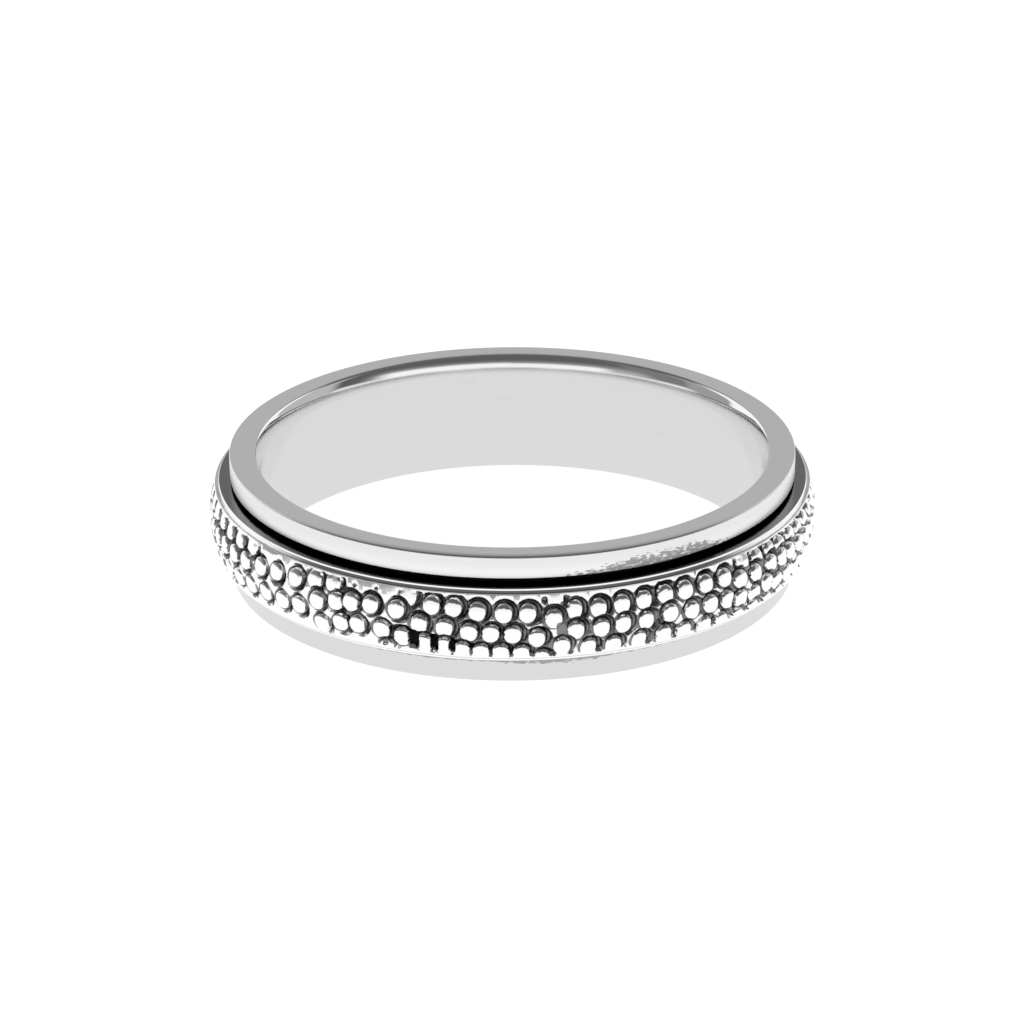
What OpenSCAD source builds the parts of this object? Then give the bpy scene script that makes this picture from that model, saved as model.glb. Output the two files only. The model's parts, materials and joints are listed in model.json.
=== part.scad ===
// Spinner ring lying on its side: a fixed band with two flanges, and a loose stamped band that turns
// between them.
// The ring's axis is Z, and the lower flange's face is at Z = 0.

/* [Finger size] */
// Diameter of the finger hole
bore_d = 18.1; // [14:0.1:23]
// Width of the ring along the finger
band_w = 4.62; // [4:0.01:7]

/* [Fixed band] */
// Wall between the finger hole and the floor of the channel
floor_t = 0.55; // [0.4:0.01:1]
// Height of the flanges above the floor of the channel
flange_rise = 0.55; // [0.3:0.01:1]
// Width of each flange along the finger
flange_w = 0.81; // [0.5:0.01:1.1]
// Rounding of the finger hole's two edges
hole_edge_r = 0.18; // [0.05:0.01:0.35]
// Rounding of the flanges' outer edges
flange_edge_r = 0.08; // [0.03:0.01:0.2]

/* [Loose band] */
// Running gap between the channel's floor and the loose band
bore_gap = 0.06; // [0.03:0.01:0.1]
// Running gap on each side of the loose band
side_gap = 0.17; // [0.05:0.01:0.3]
// Thickness of the loose band at the middle of its width
loose_t = 1.28; // [1:0.01:2]
// How far the crown falls from the middle of the width to the rounded edges
crown_drop = 0.18; // [0.1:0.01:0.35]
// Rounding of the loose band's outer edges
loose_edge_r = 0.25; // [0.1:0.01:0.3]

/* [Stamped pattern] */
// Radius of the round bead that each stamp leaves standing
bead_r = 0.32; // [0.2:0.01:0.45]
// Width of the groove around each bead
groove_w = 0.11; // [0.05:0.01:0.2]
// Depth of the grooves below the crown
groove_depth = 0.17; // [0.1:0.01:0.3]
// How far the beads stand below the plain rims
bead_sink = 0.03; // [0.02:0.01:0.05]
// Width of each plain rim beside the stamped zone
plain_rim = 0.25; // [0.2:0.01:0.5]
// Number of times that the charted pattern goes round the loose band
repeats = 2; // [1:1:2]

/* [Hidden] */
$fn = 96;

bore_r = bore_d / 2;
floor_r = bore_r + floor_t;
flange_r = floor_r + flange_rise;
mid_z = band_w / 2;

loose_bore_r = floor_r + bore_gap;
crown_r = loose_bore_r + loose_t;
loose_half = band_w / 2 - flange_w - side_gap;
corner_z = loose_half - loose_edge_r;
// Radius of the crown's arc, from its drop over the half width that it spans
crown_arc_r = (corner_z * corner_z + crown_drop * crown_drop) / (2 * crown_drop);
corner_reach = crown_arc_r - loose_edge_r;
corner_out = sqrt(corner_reach * corner_reach - corner_z * corner_z);
corner_r = crown_r - crown_arc_r + corner_out;
// Height above the middle at which the crown's arc meets the rounded edge
tangent_z = corner_z * crown_arc_r / corner_reach;

zone_w = 2 * (loose_half - plain_rim);
stamp_r = bead_r + groove_w;
repeat_turn = 360 / repeats;

// Stamps of one repeat in the order that they are struck, charted by hand.
// Columns: place in 180ths of the repeat from its middle, height as a share of the zone's width.
PLACE_PARTS = 180;
STAMPS = [
    // The row that the upper rim cuts
    [-84.9, 0.43], [-80.3, 0.42], [-75.7, 0.41], [-71.0, 0.40], [-66.2, 0.39], [-61.5, 0.39],
    [-56.8, 0.43], [-38.6, 0.36], [-34.3, 0.39], [-19.0, 0.42], [7.6, 0.48], [47.0, 0.44], [51.2, 0.37],
    [55.5, 0.37], [59.4, 0.34], [63.9, 0.36], [68.2, 0.34], [72.6, 0.36], [77.0, 0.38], [81.4, 0.40],
    [85.8, 0.42],
    // The upper row
    [-14.6, 0.32], [-10.6, 0.31], [-6.3, 0.27], [-1.6, 0.25], [2.7, 0.25], [11.0, 0.27], [15.5, 0.26],
    [19.9, 0.27], [24.2, 0.28], [28.5, 0.30], [32.7, 0.29], [37.4, 0.29], [42.0, 0.28],
    // Where the upper row steps down to the middle one
    [-87.7, 0.00], [-82.8, 0.01], [-78.1, 0.02], [-73.4, 0.03], [-68.6, 0.05], [-63.8, 0.07],
    [-58.9, 0.11], [-53.4, 0.18], [-48.5, 0.23], [-43.3, 0.28], [-37.9, 0.03], [-33.6, 0.10],
    [-30.4, 0.16], [-26.3, 0.19], [-21.2, 0.18], [7.3, 0.15], [46.1, 0.14], [50.7, 0.12], [55.8, 0.13],
    [59.9, 0.11], [63.6, 0.09], [68.2, 0.07], [72.8, 0.05], [77.4, 0.04], [82.0, 0.02], [86.9, 0.01],
    // The middle row
    [-16.9, -0.01], [-12.2, -0.04], [-7.8, -0.09], [-3.9, -0.10], [0.0, -0.11], [4.3, -0.19], [11.3, -0.08],
    [16.0, -0.09], [20.1, -0.07], [24.6, -0.08], [29.4, -0.04], [34.2, -0.09], [38.5, -0.09], [42.7, -0.12],
    // The lower row
    [-86.1, -0.35], [-81.4, -0.34], [-76.7, -0.35], [-72.0, -0.34], [-67.3, -0.32], [-62.5, -0.30],
    [-57.3, -0.27], [-52.1, -0.24], [-47.0, -0.22], [-42.5, -0.18], [-37.2, -0.38], [-32.7, -0.26],
    [-29.1, -0.21], [-24.2, -0.21], [-20.3, -0.29], [-16.2, -0.36], [-12.4, -0.38], [-9.2, -0.44],
    [-5.8, -0.46], [-2.2, -0.46], [1.5, -0.48], [8.8, -0.36], [13.7, -0.42], [18.4, -0.44], [23.4, -0.42],
    [28.5, -0.42], [32.8, -0.45], [37.6, -0.47], [41.9, -0.51], [46.4, -0.22], [50.5, -0.25],
    [54.7, -0.19], [58.3, -0.27], [62.6, -0.27], [67.0, -0.30], [71.5, -0.31], [76.0, -0.32],
    [80.5, -0.33], [85.0, -0.34], [89.4, -0.35],
    // The row that the lower rim cuts
    [-23.4, -0.56], [5.2, -0.58], [46.4, -0.56], [51.0, -0.54], [55.6, -0.56], [60.2, -0.57]
];

// How far cutting tools pass the crown and beads' feet pass the ground
reach = crown_drop / 2;
// Least overlap that a later stamp cuts from a bead
least_cut = bead_r / 10;
// Corners of the ground's section, as shares of half the zone's width
GROUND_STEPS = [-1, -0.4, 0.4, 1];

function stamp_turn(stamp) = stamp[0] / PLACE_PARTS * repeat_turn;
function stamp_z(stamp) = stamp[1] * zone_w;
// The crown's radius at a height above the middle of the width
function crown_at(z) = crown_r - crown_arc_r + sqrt(crown_arc_r * crown_arc_r - z * z);
// The turn from one stamp to the nearest copy of another
function turn_to(a, b) =
    let (turn = stamp_turn(b) - stamp_turn(a))
    turn - repeat_turn * round(turn / repeat_turn);
// Place of stamp b seen from stamp a, on the crown laid flat
function stamp_offset(a, b) = [turn_to(a, b) * PI / 180 * crown_r, stamp_z(b) - stamp_z(a)];
function stamps_apart(a, b) = norm(stamp_offset(a, b));

// Quarter-round strip that rounds a square corner of a profile, drawn for the corner at the origin
module corner_strip(r, right, up) {
    mirror([right ? 1 : 0, 0])
        mirror([0, up ? 1 : 0])
            difference() {
                translate([-r, -r])
                    square(2 * r);
                translate([r, r])
                    circle(r);
                translate([r, -r])
                    square([r, 2 * r]);
                translate([-r, r])
                    square([r, r]);
            }
}

module inner_band_profile() {
    difference() {
        translate([bore_r, 0])
            square([flange_r - bore_r, band_w]);
        translate([floor_r, flange_w])
            square([flange_r - floor_r + reach, band_w - 2 * flange_w]);
        for (up = [false, true]) {
            translate([bore_r, up ? band_w : 0])
                corner_strip(hole_edge_r, false, up);
            translate([flange_r, up ? band_w : 0])
                corner_strip(flange_edge_r, true, up);
            translate([flange_r, up ? band_w - flange_w : flange_w])
                corner_strip(flange_edge_r, true, !up);
        }
    }
}

module inner_band() {
    color("silver")
        rotate_extrude()
            inner_band_profile();
}

module loose_profile() {
    translate([loose_bore_r, mid_z - loose_half])
        square([corner_r - loose_bore_r, 2 * loose_half]);
    intersection() {
        translate([crown_r - crown_arc_r, mid_z])
            circle(crown_arc_r);
        translate([corner_r - reach, mid_z - tangent_z])
            square([crown_r - corner_r + 2 * reach, 2 * tangent_z]);
    }
    for (side = [-1, 1])
        translate([corner_r, mid_z + side * corner_z])
            circle(loose_edge_r);
}

// Section of the sunk zone between the rims, whose ground follows the crown in three slopes
module zone_section() {
    half = zone_w / 2;
    polygon(concat(
        [[crown_r + reach, mid_z - half]],
        [for (share = GROUND_STEPS) [crown_at(share * half) - groove_depth, mid_z + share * half]],
        [[crown_r + reach, mid_z + half]]
    ));
}

// Outline of one bead on its own tangent plane, less what later stamps beside it cut away
module bead_outline(index) {
    stamp = STAMPS[index];
    difference() {
        circle(bead_r, $fn = 32);
        for (later = [index + 1 : 1 : len(STAMPS) - 1])
            if (stamps_apart(stamp, STAMPS[later]) < stamp_r + bead_r - least_cut)
                translate(stamp_offset(stamp, STAMPS[later]))
                    circle(stamp_r, $fn = 32);
    }
}

// Bead that stands on the ground and whose flat top lies along the crown
module bead(index) {
    z = stamp_z(STAMPS[index]);
    rotate([0, 0, stamp_turn(STAMPS[index])])
        translate([crown_at(z), 0, mid_z + z])
            rotate([0, -asin(z / crown_arc_r), 0])
                rotate([90, 0, 90])
                    translate([0, 0, -groove_depth - reach])
                        linear_extrude(height = groove_depth + reach - bead_sink)
                            bead_outline(index);
}

function is_whole(index) = abs(stamp_z(STAMPS[index])) + bead_r < zone_w / 2 - least_cut;

module beads(whole) {
    for (copy = [0 : repeats - 1], index = [0 : len(STAMPS) - 1])
        if (is_whole(index) == whole)
            rotate([0, 0, copy * repeat_turn - 90])
                bead(index);
}

module spinner_band() {
    color("gainsboro") {
        rotate_extrude()
            difference() {
                loose_profile();
                zone_section();
            }
        beads(true);
        // The beads that a rim cuts end at the edge of the zone
        intersection() {
            translate([0, 0, mid_z - zone_w / 2])
                cylinder(r = crown_r + reach, h = zone_w);
            beads(false);
        }
    }
}

inner_band();
spinner_band();
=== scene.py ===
"""Looks of a spinner ring: a polished fixed band, and a loose domed band with stamped round beads.

Sizes are in millimetres until a mesh is made. Every mesh is in metres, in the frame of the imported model.
"""

import json
import logging
import math
from dataclasses import dataclass, field
from enum import Enum
from functools import cache, partial, reduce

import bpy
import numpy as np
from mathutils import Matrix, Vector, geometry


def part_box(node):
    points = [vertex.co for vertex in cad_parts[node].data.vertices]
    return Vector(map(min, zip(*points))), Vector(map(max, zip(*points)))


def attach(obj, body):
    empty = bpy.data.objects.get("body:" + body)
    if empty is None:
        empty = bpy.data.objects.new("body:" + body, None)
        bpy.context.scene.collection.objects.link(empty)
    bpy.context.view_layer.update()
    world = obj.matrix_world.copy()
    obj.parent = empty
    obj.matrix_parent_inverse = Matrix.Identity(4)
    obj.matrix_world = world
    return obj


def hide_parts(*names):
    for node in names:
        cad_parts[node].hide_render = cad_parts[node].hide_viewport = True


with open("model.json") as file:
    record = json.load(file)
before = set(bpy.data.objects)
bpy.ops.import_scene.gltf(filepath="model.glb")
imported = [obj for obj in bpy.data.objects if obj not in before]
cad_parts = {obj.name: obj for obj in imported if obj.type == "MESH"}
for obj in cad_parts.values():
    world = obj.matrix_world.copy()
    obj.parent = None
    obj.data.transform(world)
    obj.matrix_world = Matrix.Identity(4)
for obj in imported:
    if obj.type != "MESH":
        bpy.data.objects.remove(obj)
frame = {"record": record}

MM = 0.001
TAU = 2 * math.pi
# A length in millimetres that counts as none
TINY = 1e-9
Array = np.ndarray
Socket = bpy.types.NodeSocket
# Value of a shader input: a number, or the output that feeds it
Feed = float | Socket
log = logging.getLogger("ring")


@dataclass
class Outline:
    """Section of a turned piece, drawn as a pen runs round it with the metal on its left."""

    radius: float  # Distance of the pen from the ring's axis
    height: float  # Height of the pen
    facing: float  # Direction that the surface faces there, in degrees from straight outward
    black: float = 0.0  # How far the surface there is blackened, from 0 to 1
    # Radius, height, facing in radians and blackening of each point laid down
    rows: list[tuple[float, ...]] = field(default_factory=list)

    def mark(self) -> None:
        """Lays down a point where the pen is."""
        self.rows.append((self.radius, self.height, math.radians(self.facing), self.black))

    def go(self, length: float) -> None:
        """Draws a straight stretch.

        Args:
            length: Length of the stretch.
        """
        self.mark()
        along = math.radians(self.facing + 90)
        self.radius += length * math.cos(along)
        self.height += length * math.sin(along)
        self.mark()

    def turn(self, by: float, bend: float, parts: int) -> None:
        """Draws an arc.

        Args:
            by: Change of facing in degrees, above zero on an outer edge and below it in an inner corner.
            bend: Radius of the arc.
            parts: Number of equal parts.
        """
        reach = math.copysign(bend, by)
        centre_r = self.radius - reach * math.cos(math.radians(self.facing))
        centre_z = self.height - reach * math.sin(math.radians(self.facing))
        start = self.facing
        for step in range(parts + 1):
            self.facing = start + by * step / parts
            self.radius = centre_r + reach * math.cos(math.radians(self.facing))
            self.height = centre_z + reach * math.sin(math.radians(self.facing))
            self.mark()

    def table(self) -> Array:
        """Returns the points as an array with the columns of rows, without repeated ones."""
        kept = [self.rows[0]]
        for row in self.rows[1:]:
            if math.dist(row[:2], kept[-1][:2]) > TINY:
                kept.append(row)
        return np.array(kept)

    def mirrored(self, middle: float) -> Array:
        """Returns the section's other half about a middle height, in the same order round the metal."""
        return self.table()[::-1] * [1, -1, -1, 1] + [0, 2 * middle, 0, 0]


@dataclass
class Skin:
    """Points, normals, faces and marks of a mesh that is being put together."""

    points: Array  # Places in millimetres
    normals: Array  # Direction that the surface faces at each point
    faces: list[list[int]]  # Corner numbers of each face
    marks: dict[str, Array]  # Named number of each point, which the finish reads

    def to_object(self, name: str) -> bpy.types.Object:
        """Makes the mesh and links its object.

        Args:
            name: Name of the piece.

        Returns:
            The new object, at the frame's origin.
        """
        mesh = bpy.data.meshes.new(name)
        mesh.from_pydata((self.points * MM).tolist(), [], self.faces)
        mesh.polygons.foreach_set("use_smooth", [True] * len(mesh.polygons))
        for mark, values in self.marks.items():
            layer = mesh.attributes.new(mark, "FLOAT", "POINT")
            layer.data.foreach_set("value", values.astype(np.float32))
        mesh.normals_split_custom_set_from_vertices(self.normals.tolist())
        mesh.update()
        piece = bpy.data.objects.new(name, mesh)
        bpy.context.scene.collection.objects.link(piece)
        return piece


def turned(table: Array, segments: int, closed: bool) -> Skin:
    """Turns a section about the ring's axis.

    Args:
        table: Radius, height, facing and blackening of each point of the section.
        segments: Number of steps round the axis, the first of them at the back.
        closed: Whether the last point joins the first.

    Returns:
        The turned skin, its points in one row round the axis for each point of the section.
    """
    angles = math.pi / 2 + TAU * np.arange(segments) / segments
    radius, height, facing, black = (column[:, None] for column in table.T)
    x, y, level = np.cos(angles), np.sin(angles), np.ones(segments)
    points = np.stack([radius * x, radius * y, height * level], 2).reshape(-1, 3)
    normals = np.stack([np.cos(facing) * x, np.cos(facing) * y, np.sin(facing) * level], 2).reshape(-1, 3)
    here = np.arange(len(table) if closed else len(table) - 1)[:, None] * segments
    there = (here + segments) % len(points)
    step = np.arange(segments)
    after = (step + 1) % segments
    faces = np.stack([here + step, here + after, there + after, there + step], 2).reshape(-1, 4)
    return Skin(points, normals, faces.tolist(), {"black": (black * level).ravel()})


@dataclass
class FixedBand:
    """Inner sleeve with the finger hole, two flanges and the blackened channel between them."""

    width: float  # Width along the axis
    hole_r: float  # Radius of the finger hole
    flange_r: float = 10.15  # Radius over the flanges
    floor_wall: float = 0.55  # Metal between the finger hole and the channel's floor
    flange_w: float = 0.81  # Width of each flange
    outer_round: float = 0.06  # Rounding of the flanges' outer edges
    lip_round: float = 0.15  # Rounding where a flange's face turns into the hole
    soft_round: float = 1.6  # Radius of the softer turn from there into the hole's wall
    soft_turn: float = 25.0  # Degrees of the softer turn
    face_tilt: float = 7.0  # Degrees by which the lightly domed face falls off at either edge
    channel_round: float = 0.03  # Rounding of the channel's edges
    bright_turn: float = 72.0  # Degrees of that rounding that are still bright
    inner_round: float = 0.04  # Rounding in the channel's inner corners
    segments: int = 720  # Steps round the axis

    def outline(self) -> Array:
        """Returns the band's whole section."""
        soft, steep = math.radians(self.soft_turn), math.radians(90 - self.face_tilt)
        lip_out = self.soft_round * (1 - math.cos(soft)) + self.lip_round * (math.cos(soft) - math.cos(steep))
        face_out = self.flange_r - self.hole_r - lip_out - self.outer_round * (1 - math.cos(steep))
        face_round = face_out / (2 * math.cos(steep))
        lip_up = self.soft_round * math.sin(soft) + self.lip_round * (math.sin(steep) - math.sin(soft))
        fall = face_round * (1 - math.sin(steep))
        pen = Outline(self.hole_r, self.width / 2, 180.0)
        pen.go(self.width / 2 - lip_up - fall)
        pen.turn(self.soft_turn, self.soft_round, parts=14)
        pen.turn(90 - self.face_tilt - self.soft_turn, self.lip_round, parts=14)
        pen.turn(2 * self.face_tilt, face_round, parts=10)
        pen.turn(90 - self.face_tilt, self.outer_round, parts=10)
        pen.go(self.flange_w - self.channel_round - fall - self.outer_round * math.sin(steep))
        pen.turn(self.bright_turn, self.channel_round, parts=6)
        pen.black = 1.0
        pen.turn(90 - self.bright_turn, self.channel_round, parts=2)
        rise = self.flange_r - self.hole_r - self.channel_round
        pen.go(rise - self.floor_wall - self.inner_round)
        pen.turn(-90, self.inner_round, parts=4)
        pen.go(self.width / 2 - self.flange_w - self.inner_round)
        return np.concatenate([pen.table(), pen.mirrored(self.width / 2)[1:-1]])

    def build(self) -> bpy.types.Object:
        """Makes the band in place of its plain solid and returns it."""
        piece = turned(self.outline(), self.segments, closed=True).to_object("fixed_band")
        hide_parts("inner_band")
        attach(piece, "band")
        return piece

    def dress(self, piece: bpy.types.Object) -> None:
        """Gives the band's object its finish."""
        piece.data.materials.append(PolishedSilver().material())


def eased(share: Array) -> Array:
    """Returns shares kept between 0 and 1 and softened at both ends."""
    share = np.clip(share, 0, 1)
    return share * share * (3 - 2 * share)


@dataclass(frozen=True)
class Punch:
    """Hollow round punch that leaves a bead in a ring-shaped groove, measured from the bead's middle."""

    upright: float = 0.9  # Share by which the punch is narrower than high
    squareness: float = 2.4  # Power of the bead's outline, 2 for a round one
    breadth: float = 0.87  # Share of its height over its width by which the groove is broader than the bead
    bead_r: float = 0.285  # Radius of the bead at its shoulder
    foot_r: float = 0.325  # Radius at the foot of its wall
    floor_r: float = 0.36  # Radius of the groove's floor, about a middle of its own
    lip_r: float = 0.46  # Radius at which the groove comes up to the metal around
    stain_r: float = 0.515  # Radius up to which the blackening spreads, where stamps stand close
    shoulder_drop: float = 0.05  # How far the bead's shoulder lies below its top
    dome_power: int = 5  # Power of the bead's dome
    depth: float = 0.14  # Depth of the groove
    least_depth: float = 0.03  # Its depth on the far side of a punch that leans much
    lean_depth: float = 0.11  # How much deeper it is on the side to which the punch leans
    lean_shift: float = 0.03  # How far its middle lies off the bead's, to that side
    lean_stain: float = 0.1  # How much farther the blackening spreads on that side
    burr: float = 0.005  # Height of the metal that is pushed up round the groove
    burr_w: float = 0.08  # Width of that metal
    foot_patina_shade: float = 0.52  # Black of the line at the bead's foot, patina with painted shade over it, where 1 is that of a deep dent
    foot_edge: float = 3.0  # Steepness of that line's edge on the bead's wall
    patina_shade_w: float = 0.055  # Its width
    patina_shade_edge: float = 2.5  # Steepness of its outer edge
    least_patina_shade_w: float = 0.055 / 6  # Its width on the far side of a punch that leans
    lean_patina_shade: float = 0.075  # How much wider it is on the side to which the punch leans

    def wall(self, away: Array) -> Array:
        """Returns the share of the bead's wall passed at a distance from the bead's middle."""
        return (away - self.bead_r) / (self.foot_r - self.bead_r)

    def bead(self, away: Array) -> Array:
        """Returns how far the bead lies below the crown at a distance from its middle."""
        domed = self.shoulder_drop * np.minimum(away / self.bead_r, 1) ** self.dome_power
        return domed + (self.depth - self.shoulder_drop) * np.clip(self.wall(away), 0, 1)

    def outer_wall(self, away: Array) -> Array:
        """Returns the share of the groove's depth at a distance from the groove's middle."""
        return eased((self.lip_r - away) / (self.lip_r - self.floor_r))

    def pushed_up(self, away: Array) -> Array:
        """Returns the height of the metal pushed up at a distance from the groove's middle."""
        return self.burr * np.exp(-(((away - self.lip_r - self.burr_w / 2) / (self.burr_w / 2)) ** 2))


# Stamps of one half of the loose band in the order that they are struck, charted one by one.
# Columns: place in degrees from the half's middle, height as a share of the stamped zone's width.
STAMPS = [
    # The row that the upper rim cuts
    (-84.9, 0.43), (-80.3, 0.42), (-75.7, 0.41), (-71.0, 0.40), (-66.2, 0.39), (-61.5, 0.39),
    (-56.8, 0.43), (-38.6, 0.36), (-34.3, 0.39), (-19.0, 0.42), (7.6, 0.48), (47.0, 0.44), (51.2, 0.37),
    (55.5, 0.37), (59.4, 0.34), (63.9, 0.36), (68.2, 0.34), (72.6, 0.36), (77.0, 0.38), (81.4, 0.40),
    (85.8, 0.42),
    # The upper row
    (-14.6, 0.32), (-10.6, 0.31), (-6.3, 0.27), (-1.6, 0.25), (2.7, 0.25), (11.0, 0.27), (15.5, 0.26),
    (19.9, 0.27), (24.2, 0.28), (28.5, 0.30), (32.7, 0.29), (37.4, 0.29), (42.0, 0.28),
    # Where the upper row steps down to the middle one
    (-87.7, 0.00), (-82.8, 0.01), (-78.1, 0.02), (-73.4, 0.03), (-68.6, 0.05), (-63.8, 0.07),
    (-58.9, 0.11), (-53.4, 0.18), (-48.5, 0.23), (-43.3, 0.28), (-37.9, 0.03), (-33.6, 0.10),
    (-30.4, 0.16), (-26.3, 0.19), (-21.2, 0.18), (7.3, 0.15), (46.1, 0.14), (50.7, 0.12), (55.8, 0.13),
    (59.9, 0.11), (63.6, 0.09), (68.2, 0.07), (72.8, 0.05), (77.4, 0.04), (82.0, 0.02), (86.9, 0.01),
    # The middle row
    (-16.9, -0.01), (-12.2, -0.04), (-7.8, -0.09), (-3.9, -0.10), (0.0, -0.11), (4.3, -0.19), (11.3, -0.08),
    (16.0, -0.09), (20.1, -0.07), (24.6, -0.08), (29.4, -0.04), (34.2, -0.09), (38.5, -0.09), (42.7, -0.12),
    # The lower row
    (-86.1, -0.35), (-81.4, -0.34), (-76.7, -0.35), (-72.0, -0.34), (-67.3, -0.32), (-62.5, -0.30),
    (-57.3, -0.27), (-52.1, -0.24), (-47.0, -0.22), (-42.5, -0.18), (-37.2, -0.38), (-32.7, -0.26),
    (-29.1, -0.21), (-24.2, -0.21), (-20.3, -0.29), (-16.2, -0.36), (-12.4, -0.38), (-9.2, -0.44),
    (-5.8, -0.46), (-2.2, -0.46), (1.5, -0.48), (8.8, -0.36), (13.7, -0.42), (18.4, -0.44), (23.4, -0.42),
    (28.5, -0.42), (32.8, -0.45), (37.6, -0.47), (41.9, -0.51), (46.4, -0.22), (50.5, -0.25),
    (54.7, -0.19), (58.3, -0.27), (62.6, -0.27), (67.0, -0.30), (71.5, -0.31), (76.0, -0.32),
    (80.5, -0.33), (85.0, -0.34), (89.4, -0.35),
    # The row that the lower rim cuts
    (-23.4, -0.56), (5.2, -0.58), (46.4, -0.56), (51.0, -0.54), (55.6, -0.56), (60.2, -0.57),
]

# Dents between the beads where a punch slipped or struck twice, charted one by one.
# Columns: place in degrees, height as a share of the zone's width, half length, half width and depth.
DENTS = [
    (-18.1, -0.29, 0.20, 0.36, 0.20), (-14.25, -0.31, 0.14, 0.33, 0.20), (-11.0, -0.36, 0.11, 0.22, 0.17),
    (8.6, -0.04, 0.17, 0.26, 0.09), (6.4, -0.30, 0.13, 0.20, 0.09), (9.2, 0.37, 0.14, 0.10, 0.08),
    (17.8, -0.18, 0.09, 0.14, 0.14), (13.4, 0.05, 0.10, 0.10, 0.09), (5.6, 0.46, 0.09, 0.08, 0.12),
    (-29.9, 0.44, 0.05, 0.07, 0.09), (-25.4, 0.46, 0.07, 0.05, 0.09), (24.2, 0.44, 0.10, 0.05, 0.09),
    (-23.8, -0.42, 0.12, 0.14, 0.11), (53.2, 0.16, 0.15, 0.24, 0.10), (49.0, -0.42, 0.12, 0.16, 0.14),
    (53.2, -0.42, 0.16, 0.16, 0.14),
]

# How the punch leans along the chart, with a steady change from each row to the next.
# Columns: place in degrees, heading in degrees up from the right, how much it leans.
LEANS = [(-60, 5, 1.7), (-20, 42, 1.0), (40, 42, 1.0), (70, 42, 1.4)]

# How far from a stamp's middle its mark is worked out
STAMP_REACH = 0.7
# Power of a dent's outline, and the distances to that power at which it ends and metal can be pushed up again
DENT_POWER, DENT_END, DENT_CLEAR = 4, 1.5, 2.5
# Depth from which a dent holds black patina with painted shade over it, and how much deeper it is quite black
DENT_PATINA_SHADE, DENT_PATINA_SHADE_SPAN = 0.12, 0.05
# Rings of mesh points over a bead: share of its radius, number of points
BEAD_RINGS = [(0.0, 1), (0.5, 8), (0.78, 18), (0.9, 26), (0.96, 30), (1.0, 34)]
# Rings over the slope of a groove's outer wall as shares of its width, and the number of points on each
SLOPE_RINGS, SLOPE_POINTS = (0, 0.3, 0.65, 1), 34
# Distance of the ring outside a bead's foot, and the distance that points keep from a later bead's foot
FOOT_STEP, FOOT_CLEAR = 0.035, 0.01
# Rings round a dent as shares of its size, and the number of points on each
DENT_RINGS, DENT_POINTS = (0.82, 0.95, 1.1), 36
# Number of points along the seam, the distance that others keep from it, and the grid's from the edge
SEAM_POINTS, SEAM_MARGIN, GRID_MARGIN = 75, 0.012, 0.05
# Distance between the plain points that fill the field, and the width of a cell that holds one point at most
GRID_PITCH, LEAST_PITCH = 0.15, 0.022


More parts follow.
